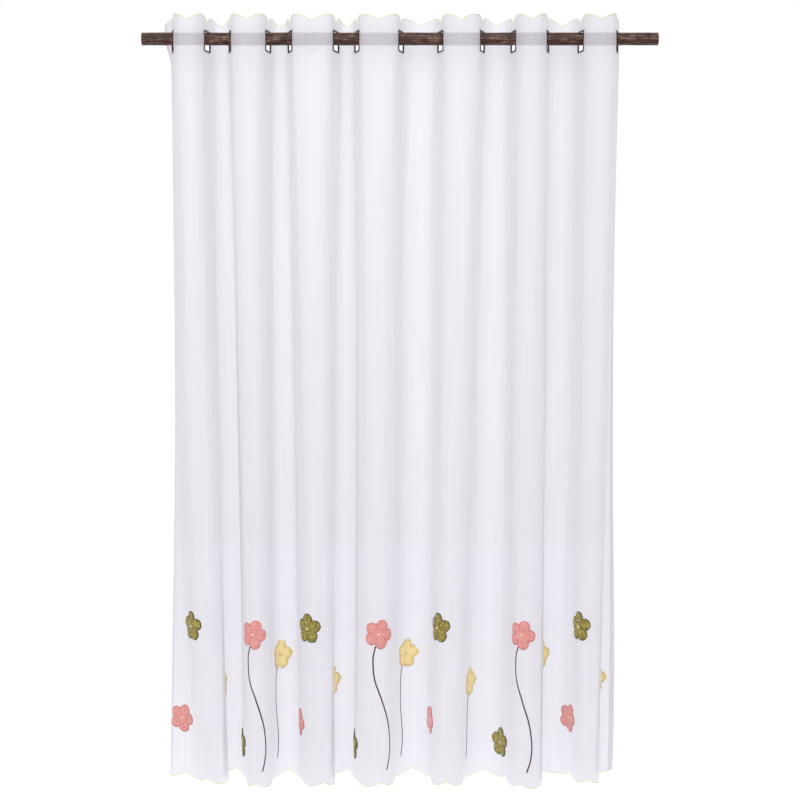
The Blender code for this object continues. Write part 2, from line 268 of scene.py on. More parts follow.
# Main creases in the cloth: middle, half width, height of ridge, and the stretch of drop, in mm
Crease = namedtuple("Crease", "across width ridge top low drift")
creases = (
    Crease(across=20, width=9, ridge=1.8, top=-60, low=-1500, drift=4),
    Crease(across=116, width=10, ridge=-2.2, top=-50, low=-900, drift=-6),
    Crease(across=140, width=7, ridge=1.5, top=-150, low=-1400, drift=3),
    Crease(across=180, width=12, ridge=1.6, top=-300, low=-1619, drift=-5),
    Crease(across=262, width=8, ridge=-2.0, top=-45, low=-800, drift=5),
    Crease(across=300, width=11, ridge=2.2, top=-120, low=-1619, drift=-4),
    Crease(across=348, width=7, ridge=-1.4, top=-500, low=-1450, drift=4),
    Crease(across=418, width=10, ridge=1.7, top=-45, low=-1000, drift=-8),
    Crease(across=455, width=9, ridge=-2.3, top=-80, low=-1500, drift=6),
    Crease(across=500, width=8, ridge=1.6, top=-380, low=-1619, drift=-3),
    Crease(across=575, width=9, ridge=-1.8, top=-50, low=-700, drift=6),
    Crease(across=612, width=12, ridge=2.4, top=-160, low=-1560, drift=-7),
    Crease(across=655, width=7, ridge=-1.5, top=-420, low=-1619, drift=4),
    Crease(across=722, width=9, ridge=1.9, top=-50, low=-950, drift=5),
    Crease(across=764, width=11, ridge=-2.2, top=-90, low=-1500, drift=-5),
    Crease(across=800, width=8, ridge=1.5, top=-350, low=-1619, drift=4),
    Crease(across=878, width=10, ridge=-2.0, top=-50, low=-850, drift=-6),
    Crease(across=920, width=8, ridge=1.9, top=-140, low=-1400, drift=5),
    Crease(across=958, width=12, ridge=-1.6, top=-300, low=-1619, drift=-4),
    Crease(across=1028, width=9, ridge=2.0, top=-50, low=-1000, drift=6),
    Crease(across=1064, width=10, ridge=-2.4, top=-100, low=-1540, drift=-6),
    Crease(across=1108, width=8, ridge=1.6, top=-400, low=-1619, drift=4),
    Crease(across=1182, width=10, ridge=-1.9, top=-50, low=-780, drift=-5),
    Crease(across=1222, width=9, ridge=2.1, top=-150, low=-1500, drift=6),
    Crease(across=1262, width=11, ridge=-1.7, top=-320, low=-1619, drift=-4),
    Crease(across=1332, width=9, ridge=1.8, top=-50, low=-1050, drift=5),
    Crease(across=1370, width=12, ridge=-2.3, top=-110, low=-1580, drift=-6),
    Crease(across=1412, width=8, ridge=1.5, top=-420, low=-1619, drift=4),
    Crease(across=1486, width=9, ridge=-1.9, top=-50, low=-820, drift=-5),
    Crease(across=1524, width=10, ridge=2.2, top=-130, low=-1500, drift=6),
    Crease(across=1566, width=8, ridge=-1.6, top=-380, low=-1619, drift=-4),
    Crease(across=1636, width=10, ridge=1.9, top=-50, low=-1000, drift=5),
    Crease(across=1674, width=9, ridge=-2.2, top=-90, low=-1520, drift=-6),
    Crease(across=1716, width=8, ridge=1.6, top=-400, low=-1619, drift=4),
    Crease(across=1790, width=9, ridge=-2.0, top=-50, low=-760, drift=-5),
    Crease(across=1828, width=11, ridge=2.1, top=-140, low=-1500, drift=6),
    Crease(across=1870, width=8, ridge=-1.6, top=-350, low=-1619, drift=-4),
    Crease(across=1940, width=9, ridge=1.8, top=-50, low=-1000, drift=5),
    Crease(across=1982, width=10, ridge=-2.1, top=-100, low=-1550, drift=-6),
    Crease(across=2022, width=7, ridge=1.4, top=-300, low=-1619, drift=4),
    Crease(across=2102, width=9, ridge=-1.6, top=-60, low=-1500, drift=3),
)


def creaseHeight(across, z):
    # Soft ridges and troughs, none of them inside the rings' grooves
    height = 0.0
    for crease in creases:
        if abs(across - crease.across) > crease.width * 3 + abs(crease.drift):
            continue
        part = (z - crease.top) / (crease.low - crease.top)
        middle = crease.across + crease.drift * part + 2.5 * math.sin(z * 0.004 + crease.across)
        fade = smoothRamp(part, 0.0, 0.25) * (1 - smoothRamp(part, 0.75, 1.1))
        height += crease.ridge * fade * math.exp(-(((across - middle) / crease.width) ** 2))
    ripple = 2.2 * noise.noise(Vector((across / 62.0, z / 700.0, 8.1)))
    ripple += 0.8 * noise.noise(Vector((across / 27.0, z / 420.0, 0.3)))
    ripple += 0.16 * noise.noise(Vector((across / 13.0, z / 260.0, 4.7)))
    return height + ripple * freeShare(across, z)


def freeShare(across, z):
    # 0 where a ring grips the cloth, 1 well away from it
    away = min(abs(across - ringPlace(index)) for index in range(len(folds)))
    beside = smoothRamp(away, ringReach + 3, ringReach + 22)
    below = smoothRamp(ringHeight - z, ringReach + 3, ringReach + 90)
    return max(beside * smoothRamp(abs(z - ringHeight), 0, 1), below)


def makeColumns():
    columns = [0.0]
    hole = clothSet["holeHalf"]
    scallop = clothSet["scallop"]
    near = [hole * step / clothSet["holeSteps"] for step in range(1, clothSet["holeSteps"] + 1)]
    far = [hole + (scallop - hole) * step / clothSet["plainSteps"] for step in range(1, clothSet["plainSteps"] + 1)]
    offsets = [0.0] + near + far
    for index in range(len(folds)):
        centre = ringPlace(index)
        columns += [centre - offset for offset in reversed(offsets[:-1])]
        columns += [centre + offset for offset in offsets[1:]]
    return columns


def makeLevels():
    # Heights of the rows: close together at the heading, the holes and the hem
    hole = clothSet["holeHalf"]
    stops = (
        (clothSet["topNotch"], 0),
        (ringHeight + hole, 5),
        (ringHeight - hole, 9),
        (-100.0, 14),
        (-1180.0, 90),
        (-1600.0, 46),
        (clothSet["hemNotch"], 4),
    )
    levels = [stops[0][0]]
    for (above, _), (below, steps) in zip(stops, stops[1:]):
        levels += [above + (below - above) * step / steps for step in range(1, steps + 1)]
    return levels


def scallopShape(across):
    return abs(math.sin(math.pi * across / clothSet["scallop"])) ** clothSet["scallopRoundness"]


def levelAt(nominal, across):
    # The heading and the hem rows follow the scalloped edge
    top = clothSet["topNotch"]
    holeTop = ringHeight + clothSet["holeHalf"]
    if nominal > holeTop:
        return nominal + clothSet["topRise"] * scallopShape(across) * (nominal - holeTop) / (top - holeTop)
    hemZone = 60.0
    part = smoothRamp(clothSet["hemNotch"] + hemZone - nominal, 0.0, hemZone)
    return nominal - clothSet["hemDrop"] * scallopShape(across) * part


columns = makeColumns()
levels = makeLevels()


def makeClothGrid():
    # Position and front direction of every point of the fine cloth, in metres
    places = np.zeros((len(levels), len(columns), 3))
    fronts = np.zeros((len(levels), len(columns), 3))
    for row, nominal in enumerate(levels):
        across, x, y, angle = wholeSection(nominal)
        angle = np.interp(columns, across, angle)
        sideways, forward = np.sin(angle), -np.cos(angle)
        heights = [levelAt(nominal, column) for column in columns]
        lift = np.array([creaseHeight(column, height) for column, height in zip(columns, heights)])
        places[row, :, 0] = (np.interp(columns, across, x) + lift * sideways) * mm
        places[row, :, 1] = (np.interp(columns, across, y) + lift * forward) * mm
        places[row, :, 2] = np.array(heights) * mm
        fronts[row, :, 0] = sideways
        fronts[row, :, 1] = forward
    return places, fronts


clothPlaces, clothFronts = makeClothGrid()
print("cloth folded:", len(levels), "rows of", len(columns), "points")


def onCloth(across, z, out=0.0):
    # A point of the flat cloth, so far in front of its middle, where it hangs
    column = min(max(bisect.bisect_right(columns, across) - 1, 0), len(columns) - 2)
    row = min(max(bisect.bisect_right(levels, -z, key=lambda level: -level) - 1, 0), len(levels) - 2)
    u = (across - columns[column]) / (columns[column + 1] - columns[column])
    above = levelAt(levels[row], across)
    below = levelAt(levels[row + 1], across)
    v = (above - z) / (above - below)
    corners = clothPlaces[row : row + 2, column : column + 2] + out * mm * clothFronts[row : row + 2, column : column + 2]
    point = (corners[0, 0] * (1 - u) + corners[0, 1] * u) * (1 - v) + (corners[1, 0] * (1 - u) + corners[1, 1] * u) * v
    return Vector(point)


def voileMaterial():
    # Polyester voile, plain woven from fine hard-twisted yarn: sheer, matt, with light passing through it
    material, tree = newMaterial("polyesterVoile")
    flat = addNode(tree, "ShaderNodeUVMap", uv_map="flatCloth")
    # Threads are 0.35 mm apart. Drawn 2.5 mm apart, because that is as fine as the picture can show.
    warp = addNode(
        tree,
        "ShaderNodeTexWave",
        {"Vector": flat.outputs["UV"], "Scale": threadScale(2.5), "Distortion": 0.6, "Detail": 2.0},
        bands_direction="X",
    )
    weft = addNode(
        tree,
        "ShaderNodeTexWave",
        {"Vector": flat.outputs["UV"], "Scale": threadScale(2.5), "Distortion": 0.6, "Detail": 2.0},
        bands_direction="Y",
    )
    weave = addNode(tree, "ShaderNodeMath", {0: warp.outputs["Fac"], 1: weft.outputs["Fac"]}, operation="ADD")
    # Slubs and uneven yarn make faint upright bands about 12 mm wide and 300 mm long
    stretched = addNode(
        tree, "ShaderNodeMapping", {"Vector": flat.outputs["UV"], "Scale": (1 / 0.012, 1 / 0.3, 1.0)}
    )
    slub = addNode(tree, "ShaderNodeTexNoise", {"Vector": stretched.outputs["Vector"], "Scale": 1.0, "Detail": 2.0})
    cover = addNode(
        tree,
        "ShaderNodeMapRange",
        {"Value": slub.outputs["Fac"], "From Min": 0.3, "From Max": 0.7, "To Min": 0.73, "To Max": 0.75},
    )
    weaveCover = addNode(
        tree, "ShaderNodeMath", {0: weave.outputs[0], 1: 0.03, 2: cover.outputs[0]}, operation="MULTIPLY_ADD"
    )
    tint = addNode(
        tree,
        "ShaderNodeValToRGB",
        {"Fac": slub.outputs["Fac"]},
        ramp=((0.3, linearColour("E7E7EC")), (0.7, linearColour("EBEBF0"))),
    )
    bump = addNode(
        tree, "ShaderNodeBump", {"Height": weave.outputs[0], "Strength": 0.15, "Distance": 0.1 * mm}
    )
    cloth = addNode(
        tree,
        "ShaderNodeBsdfPrincipled",
        {
            "Base Color": tint.outputs["Color"],
            "Roughness": 0.8,
            "IOR": 1.5,
            "Sheen Weight": 0.1,
            "Sheen Roughness": 0.5,
            "Normal": bump.outputs["Normal"],
        },
    )
    glow = addNode(tree, "ShaderNodeBsdfTranslucent", {"Color": tint.outputs["Color"]})
    lit = addNode(tree, "ShaderNodeMixShader", {"Fac": 0.5, 1: cloth.outputs[0], 2: glow.outputs[0]})
    clear = addNode(tree, "ShaderNodeBsdfTransparent")
    sheer = addNode(
        tree, "ShaderNodeMixShader", {"Fac": weaveCover.outputs[0], 1: clear.outputs[0], 2: lit.outputs[0]}
    )
    finishMaterial(tree, sheer.outputs[0])
    return material


def threadScale(spacing):
    # A wave texture's scale for bands this many millimetres apart, on a map in metres
    return math.pi / 10 / (spacing * mm)


def makeCloth():
    bm = bmesh.new()
    uvLayer = bm.loops.layers.uv.new("flatCloth")
    verts = [[bm.verts.new(clothPlaces[row, column]) for column in range(len(columns))] for row in range(len(levels))]
    centres = [ringPlace(index) for index in range(len(folds))]
    hole = clothSet["holeHalf"]
    for row in range(len(levels) - 1):
        middleZ = (levels[row] + levels[row + 1]) / 2
        atHole = abs(middleZ - ringHeight) < hole
        for column in range(len(columns) - 1):
            middle = (columns[column] + columns[column + 1]) / 2
            if atHole and min(abs(middle - centre) for centre in centres) < hole:
                continue
            spots = ((row, column), (row + 1, column), (row + 1, column + 1), (row, column + 1))
            face = bm.faces.new([verts[r][c] for r, c in spots])
            for loop, (r, c) in zip(face.loops, spots):
                loop[uvLayer].uv = (columns[c] * mm, levels[r] * mm)
    loose = [vert for vert in bm.verts if not vert.link_faces]
    bmesh.ops.delete(bm, geom=loose, context="VERTS")
    piece = newPiece("voileCloth", bm, "voile", [voileMaterial()])
    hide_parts("voile_cloth")
    return piece


cloth = makeCloth()
print("voile cloth made")


def makeSideHem(name, edge, inward, material):
    # The folded edge of the cloth, a second layer behind it, sewn down along its inner side
    bm = bmesh.new()
    uvLayer = bm.loops.layers.uv.new("flatCloth")
    width = clothSet["sideHem"]
    spots = [(edge + inward * width * step / 4, -1.1 if step else -0.5) for step in range(5)]
    rows = []
    for level in levels:
        rows.append([(across, bm.verts.new(onCloth(across, levelAt(level, across) + 0.01, out))) for across, out in spots])
    for (above, below), level in zip(zip(rows, rows[1:]), levels):
        for first, second in zip(range(4), range(1, 5)):
            corners = (above[first], below[first], below[second], above[second])
            face = bm.faces.new([vert for _, vert in corners])
            for loop, (across, vert) in zip(face.loops, corners):
                loop[uvLayer].uv = (across * mm, vert.co.z)
    return newPiece(name, bm, "voile", [material])


sideHems = [
    makeSideHem("leftSideHem", 0.3, 1, cloth.data.materials[0]),
    makeSideHem("rightSideHem", clothWidth - 0.3, -1, cloth.data.materials[0]),
]
print("side hems folded")


# Rings: dark brown moulded plastic, an inner wall and two thin flanges with the cloth between them
ringSet = {
    "inner": 20.0,
    "neck": 21.0,
    "outer": 23.0,
    "thickness": 3.2,
    "groove": 1.5,
    "corner": 3.6,
    "round": 0.45,
    "cornerSteps": 6,
}


def ringSection(settings):
    # Across and depth of the channel, with rounded outer edges, in mm
    half = settings["thickness"] / 2
    groove = settings["groove"] / 2
    soft = settings["round"]
    inner, neck, outer = settings["inner"], settings["neck"], settings["outer"]
    side = [
        (inner, half - soft),
        (inner + soft * 0.3, half - soft * 0.3),
        (inner + soft, half),
        (outer - soft, half),
        (outer - soft * 0.3, half - soft * 0.3),
        (outer, half - soft),
        (outer, groove),
        (neck, groove),
    ]
    return side + [(reach, -depth) for reach, depth in reversed(side)]


def squareLoop(reach, corner, steps):
    # A square with rounded corners, as across and up
    points = []
    for quarter in range(4):
        for step in range(steps + 1):
            angle = math.pi / 2 * (quarter + step / steps)
            turned = math.pi / 2 * quarter + math.pi / 4
            centre = Vector((math.cos(turned), math.sin(turned))) * (reach - corner) * math.sqrt(2)
            points.append(centre + corner * Vector((math.cos(angle), math.sin(angle))))
    return points


def ringMaterial():
    # Moulded polypropylene, dark brown: satin, with a soft highlight along each wall
    material, tree = newMaterial("mouldedPolypropylene")
    place = addNode(tree, "ShaderNodeTexCoord")
    grit = addNode(tree, "ShaderNodeTexNoise", {"Vector": place.outputs["Object"], "Scale": 1 / (0.8 * mm), "Detail": 2.0})
    tint = addNode(
        tree,
        "ShaderNodeValToRGB",
        {"Fac": grit.outputs["Fac"]},
        ramp=((0.3, linearColour("2A160F")), (0.7, linearColour("3E241A"))),
    )
    bump = addNode(tree, "ShaderNodeBump", {"Height": grit.outputs["Fac"], "Strength": 0.2, "Distance": 0.05 * mm})
    shader = addNode(
        tree,
        "ShaderNodeBsdfPrincipled",
        {
            "Base Color": tint.outputs["Color"],
            "Roughness": 0.45,
            "IOR": 1.49,
            "Specular IOR Level": 0.3,
            "Normal": bump.outputs["Normal"],
        },
    )
    finishMaterial(tree, shader.outputs[0])
    return material


def makeRing(index, settings, material):
    bm = bmesh.new()
    low, high = ringBoxes[index]
    centre = (low + high) / 2
    angle = foldLine(index, 0.0)[1]
    turn = Matrix.Translation(centre) @ Matrix.Rotation(angle, 4, "Z")
    loops = []
    for reach, depth in ringSection(settings):
        corner = settings["corner"] - (settings["outer"] - reach)
        loop = []
        for point in squareLoop(reach, max(corner, 0.4), settings["cornerSteps"]):
            loop.append(bm.verts.new(turn @ (Vector((point.x, depth, point.y)) * mm)))
        loops.append(loop)
    count = len(loops[0])
    for number, loop in enumerate(loops):
        following = loops[(number + 1) % len(loops)]
        for at in range(count):
            after = (at + 1) % count
            bm.faces.new((loop[at], loop[after], following[after], following[at]))
    bmesh.ops.recalc_face_normals(bm, faces=bm.faces)
    node = f"eyelet_ring_{index + 1:02d}"
    piece = newPiece(f"clipRing{index + 1:02d}", bm, "ring", [material])
    piece.data.set_sharp_from_angle(angle=math.radians(50))
    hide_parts(node)


ringFinish = ringMaterial()
for number in range(len(folds)):
    makeRing(number, ringSet, ringFinish)
print("rings made")


# Rod: a peeled and stained wood pole with its grain and small knots left raised
rodSet = {"around": 72, "along": 300, "grain": 0.25, "knot": 0.5, "endRound": 0.8, "seed": 5.0}


def rodRelief(x, angle, settings):
    # Height of the grain and knots above the plain pole, never above the frame's own rod by more than a hair
    around = Vector((math.cos(angle), math.sin(angle), 0)) * 1.4
    grain = noise.noise(Vector((x * 9.0, around.x * 4.0, around.y * 4.0)))
    wave = noise.noise(Vector((x * 22.0 + settings["seed"], around.x, around.y)))
    return settings["grain"] * grain + settings["knot"] * wave


def woodMaterial():
    # Stained pine pole under a satin lacquer: dark mottled brown along the grain, with a thin soft highlight
    material, tree = newMaterial("stainedPine")
    place = addNode(tree, "ShaderNodeTexCoord")
    # Grain lines are about 1.5 mm wide and 40 mm long
    along = addNode(tree, "ShaderNodeMapping", {"Vector": place.outputs["Object"], "Scale": (25.0, 620.0, 620.0)})
    grain = addNode(
        tree, "ShaderNodeTexNoise", {"Vector": along.outputs["Vector"], "Scale": 1.0, "Detail": 6.0, "Roughness": 0.65}
    )
    patches = addNode(tree, "ShaderNodeMapping", {"Vector": place.outputs["Object"], "Scale": (60.0, 110.0, 110.0)})
    mottle = addNode(
        tree, "ShaderNodeTexNoise", {"Vector": patches.outputs["Vector"], "Scale": 1.0, "Detail": 4.0, "Roughness": 0.6}
    )
    both = addNode(
        tree, "ShaderNodeMath", {0: mottle.outputs["Fac"], 1: 0.6, 2: grain.outputs["Fac"]}, operation="MULTIPLY_ADD"
    )
    tint = addNode(
        tree,
        "ShaderNodeValToRGB",
        {"Fac": both.outputs[0]},
        ramp=(
            (0.62, linearColour("1E110C")),
            (0.76, linearColour("3E261C")),
            (0.88, linearColour("5C3F32")),
            (1.0, linearColour("9A857B")),
        ),
    )
    bump = addNode(tree, "ShaderNodeBump", {"Height": both.outputs[0], "Strength": 0.9, "Distance": 0.6 * mm})
    shader = addNode(
        tree,
        "ShaderNodeBsdfPrincipled",
        {
            "Base Color": tint.outputs["Color"],
            "Roughness": 0.52,
            "IOR": 1.5,
            "Specular IOR Level": 0.3,
            "Coat Weight": 0.06,
            "Coat Roughness": 0.2,
            "Normal": bump.outputs["Normal"],
        },
    )
    finishMaterial(tree, shader.outputs[0])
    return material


def makeRod(settings):
    bm = bmesh.new()
    soft = settings["endRound"] * mm
    stations = [(rodLow.x, -soft), (rodLow.x + soft * 0.3, -soft * 0.3)]
    length = rodHigh.x - rodLow.x - 2 * soft
    stations += [(rodLow.x + soft + length * at / settings["along"], 0.0) for at in range(settings["along"] + 1)]
    stations += [(rodHigh.x - soft * 0.3, -soft * 0.3), (rodHigh.x, -soft)]
    loops = []
    for x, drawn in stations:
        loop = []
        for step in range(settings["around"]):
            angle = 2 * math.pi * step / settings["around"]
            reach = rodRadius + drawn + (rodRelief(x, angle, settings) - 0.3) * mm
            loop.append(bm.verts.new((x, reach * math.cos(angle), reach * math.sin(angle))))
        loops.append(loop)
    for first, second in zip(loops, loops[1:]):
        for at in range(settings["around"]):
            after = (at + 1) % settings["around"]
            bm.faces.new((first[at], first[after], second[after], second[at]))
    bm.faces.new(loops[0][::-1])
    bm.faces.new(loops[-1])
    bmesh.ops.recalc_face_normals(bm, faces=bm.faces)
    piece = newPiece("pineRod", bm, "wood", [woodMaterial()])
    piece.data.set_sharp_from_angle(angle=math.radians(60))
    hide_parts("rod")


makeRod(rodSet)
print("rod made")


# Threads laid on the cloth: the edging along the scallops and the flowers' stems


def threadMaterial(name, darkHex, lightHex, patch):
    # Spun polyester embroidery thread: slightly glossy, mottled a little darker and lighter at random
    material, tree = newMaterial(name)
    place = addNode(tree, "ShaderNodeTexCoord")
    spots = addNode(tree, "ShaderNodeTexNoise", {"Vector": place.outputs["Object"], "Scale": 1 / (patch * mm), "Detail": 2.0})
    tint = addNode(
        tree,
        "ShaderNodeValToRGB",
        {"Fac": spots.outputs["Fac"]},
        ramp=((0.35, linearColour(darkHex)), (0.65, linearColour(lightHex))),
    )
    shader = addNode(
        tree,
        "ShaderNodeBsdfPrincipled",
        {
            "Base Color": tint.outputs["Color"],
            "Roughness": 0.6,
            "IOR": 1.5,
            "Sheen Weight": 0.08,
            "Sheen Roughness": 0.4,
        },
    )
    finishMaterial(tree, shader.outputs[0])
    return material


def addThread(bm, points, width, height, stitch, sides=6):
    # A stitched cord through flat points (across, z, out), wide on the cloth and low above it
    reached = 0.0
    loops = []
    hung = [onCloth(*point) for point in points]
    for number, point in enumerate(hung):
        before = hung[max(number - 1, 0)]
        after = hung[min(number + 1, len(hung) - 1)]
        way = (after - before).normalized()
        across, z, out = points[number]
        front = (onCloth(across, z, out + 1.0) - point).normalized()
        side = way.cross(front).normalized()
        front = side.cross(way).normalized()
        reached += (point - before).length / mm
        swell = 0.72 + 0.28 * abs(math.sin(math.pi * reached / stitch))
        if number in (0, len(hung) - 1):
            swell *= 0.5
        loop = []
        for step in range(sides):
            angle = 2 * math.pi * step / sides
            offset = side * math.cos(angle) * width / 2 + front * math.sin(angle) * height / 2
            loop.append(bm.verts.new(point + offset * swell * mm))
        loops.append(loop)
    for first, second in zip(loops, loops[1:]):
        for at in range(sides):
            after = (at + 1) % sides
            bm.faces.new((first[at], first[after], second[after], second[at]))
    bm.faces.new(loops[0][::-1])
    bm.faces.new(loops[-1])


edgingSet = {"width": 2.4, "height": 1.2, "stitch": 2.4, "step": 1.2}


def makeEdging(name, heightAt, material, settings):
    count = round(clothWidth / settings["step"])
    points = []
    for number in range(count + 1):
        across = clothWidth * number / count
        points.append((across, heightAt(across), 0.0))
    bm = bmesh.new()
    addThread(bm, points, settings["width"], settings["height"], settings["stitch"])
    bmesh.ops.recalc_face_normals(bm, faces=bm.faces)
    return newPiece(name, bm, "yellow", [material])


edgingFinish = threadMaterial("paleLimeThread", "E8EAB8", "F6F6D2", 2.4)
topEdging = makeEdging("headingEdging", lambda across: levelAt(levels[0], across), edgingFinish, edgingSet)
hemEdging = makeEdging("hemEdging", lambda across: levelAt(levels[-1], across), edgingFinish, edgingSet)
print("edging stitched")


def makeHemStitches(inset, step):
    # One row of sewing thread down each side hem, every other stitch sunk in the cloth
    bm = bmesh.new()
    for across in (inset, clothWidth - inset):
        count = round((clothSet["topNotch"] - clothSet["hemNotch"]) / step)
        points = []
        for number in range(count):
            points.append((across, clothSet["topNotch"] - step * (number + 0.5), 0.35 - 0.3 * (number % 2)))
        addThread(bm, points, 0.7, 0.6, 2 * step, 5)
    bmesh.ops.recalc_face_normals(bm, faces=bm.faces)
    return newPiece("sideHemStitches", bm, "voile", [threadMaterial("whiteSewingThread", "E4E4EA", "F4F4F8", 3.0)])


hemStitches = makeHemStitches(clothSet["sideHem"] - 1.5, 3.0)
print("side hems sewn")


# Stems: each row is a place (across, down) beside the flower's middle, in mm
Stem = namedtuple("Stem", "flower width route")
stems = (
    Stem("pink_high", 3.5, ((-7, -26), (-13, -53), (-10, -99), (7, -148), (22, -198), (28, -243), (26, -273), (18, -302))),
    Stem("yellow_high", 3.3, ((-7, -21), (-17, -50), (-18, -108), (-9, -168), (-8, -203), (-13, -233))),
    Stem("yellow_low", 2.6, ((-2, -26), (-6, -66), (-4, -126), (-6, -172))),
)


def curveThrough(route, step):
    # Catmull-Rom curve through the route's points, one point every step millimetres
    ends = [Vector(route[0]) * 2 - Vector(route[1])] + [Vector(p) for p in route]
    ends.append(Vector(route[-1]) * 2 - Vector(route[-2]))
    points = []
    for a, b, c, d in zip(ends, ends[1:], ends[2:], ends[3:]):
        count = max(2, round((c - b).length / step))
        for number in range(count):
            t = number / count
            points.append(
                0.5 * (2 * b + (c - a) * t + (2 * a - 5 * b + 4 * c - d) * t**2 + (3 * b - a - 3 * c + d) * t**3)
            )
    points.append(ends[-2])
    return points


# Flowers of the repeat: place across in scallops, and down from the rod in mm
Flower = namedtuple("Flower", "name lobe drop size turn colour")
repeatLobes = 8
flowers = (
    Flower(name="pink_low", lobe=0.93, drop=1496, size=64, turn=22, colour="pink"),
    Flower(name="green_top", lobe=1.60, drop=1281, size=67, turn=0, colour="olive"),
    Flower(name="yellow_low", lobe=3.30, drop=1414, size=62, turn=10, colour="yellow"),
    Flower(name="green_low", lobe=4.70, drop=1550, size=67, turn=0, colour="olive"),
    Flower(name="pink_high", lobe=5.95, drop=1292, size=66, turn=22, colour="pink"),
    Flower(name="yellow_high", lobe=7.72, drop=1357, size=62, turn=8, colour="yellow"),
)


def flowerPlaces():
    for flower in flowers:
        repeat = 0
        while flower.lobe + repeat * repeatLobes < clothSet["scallops"]:
            yield flower, repeat, (flower.lobe + repeat * repeatLobes) * clothSet["scallop"]
            repeat += 1


def makeStems():
    bm = bmesh.new()
    for flower, repeat, across in flowerPlaces():
        for stem in stems:
            if stem.flower != flower.name:
                continue
            route = curveThrough(stem.route, 1.5)
            points = []
            for spot in route:
                wobble = 0.5 * noise.noise(Vector((spot.x / 9, spot.y / 9, repeat * 3.1)))
                points.append((across + spot.x + wobble, spot.y - flower.drop, 0.55))
            addThread(bm, points, stem.width, 1.1, 4.5)
    bmesh.ops.recalc_face_normals(bm, faces=bm.faces)
    return newPiece("stemEmbroidery", bm, "wood", [threadMaterial("mauveBrownThread", "260806", "5E302C", 5.0)])


stemPiece = makeStems()
print("stems stitched")


# Flowers: padded petals cut from fleece and sewn on round the edge, with a small knotted middle
petalSet = {
    "petals": 5,
    "reach": 0.595,
    "radius": 0.405,
    "middle": 0.4,
    "around": 90,
    "rings": 15,
    "base": 0.8,
    "edgeShare": 0.965,
    "edgeSteps": 150,
    "pad": {"pink": 1.2, "olive": 2.0, "yellow": 0.8},
    "knot": {"pink": 2.4, "olive": 2.8, "yellow": 2.2},
    "ragged": {"pink": 0.02, "olive": 0.03, "yellow": 0.08},
    "edgeThread": {"pink": 1.5, "olive": 2.0, "yellow": 0.0},
    "fibres": {"pink": 0, "olive": 0, "yellow": 420},
}


def petalEdge(angle, settings):
    spacing = 2 * math.pi / settings["petals"]
    offAxis = (angle + spacing / 2) % spacing - spacing / 2
    side = settings["reach"] * math.sin(offAxis)
    return settings["reach"] * math.cos(offAxis) + math.sqrt(settings["radius"] ** 2 - side**2)


def petalShape(x, y, settings):
    # How far a point of the flower lies inside its nearest petal or its middle: 0 on the outline
    spacing = 2 * math.pi / settings["petals"]
    angle = math.atan2(y, x)
    nearest = round(angle / spacing) * spacing
    gapX = x - settings["reach"] * math.cos(nearest)
    gapY = y - settings["reach"] * math.sin(nearest)
    inPetal = 1 - math.hypot(gapX, gapY) / settings["radius"]
    return max(0.0, inPetal, 1 - math.hypot(x, y) / settings["middle"])


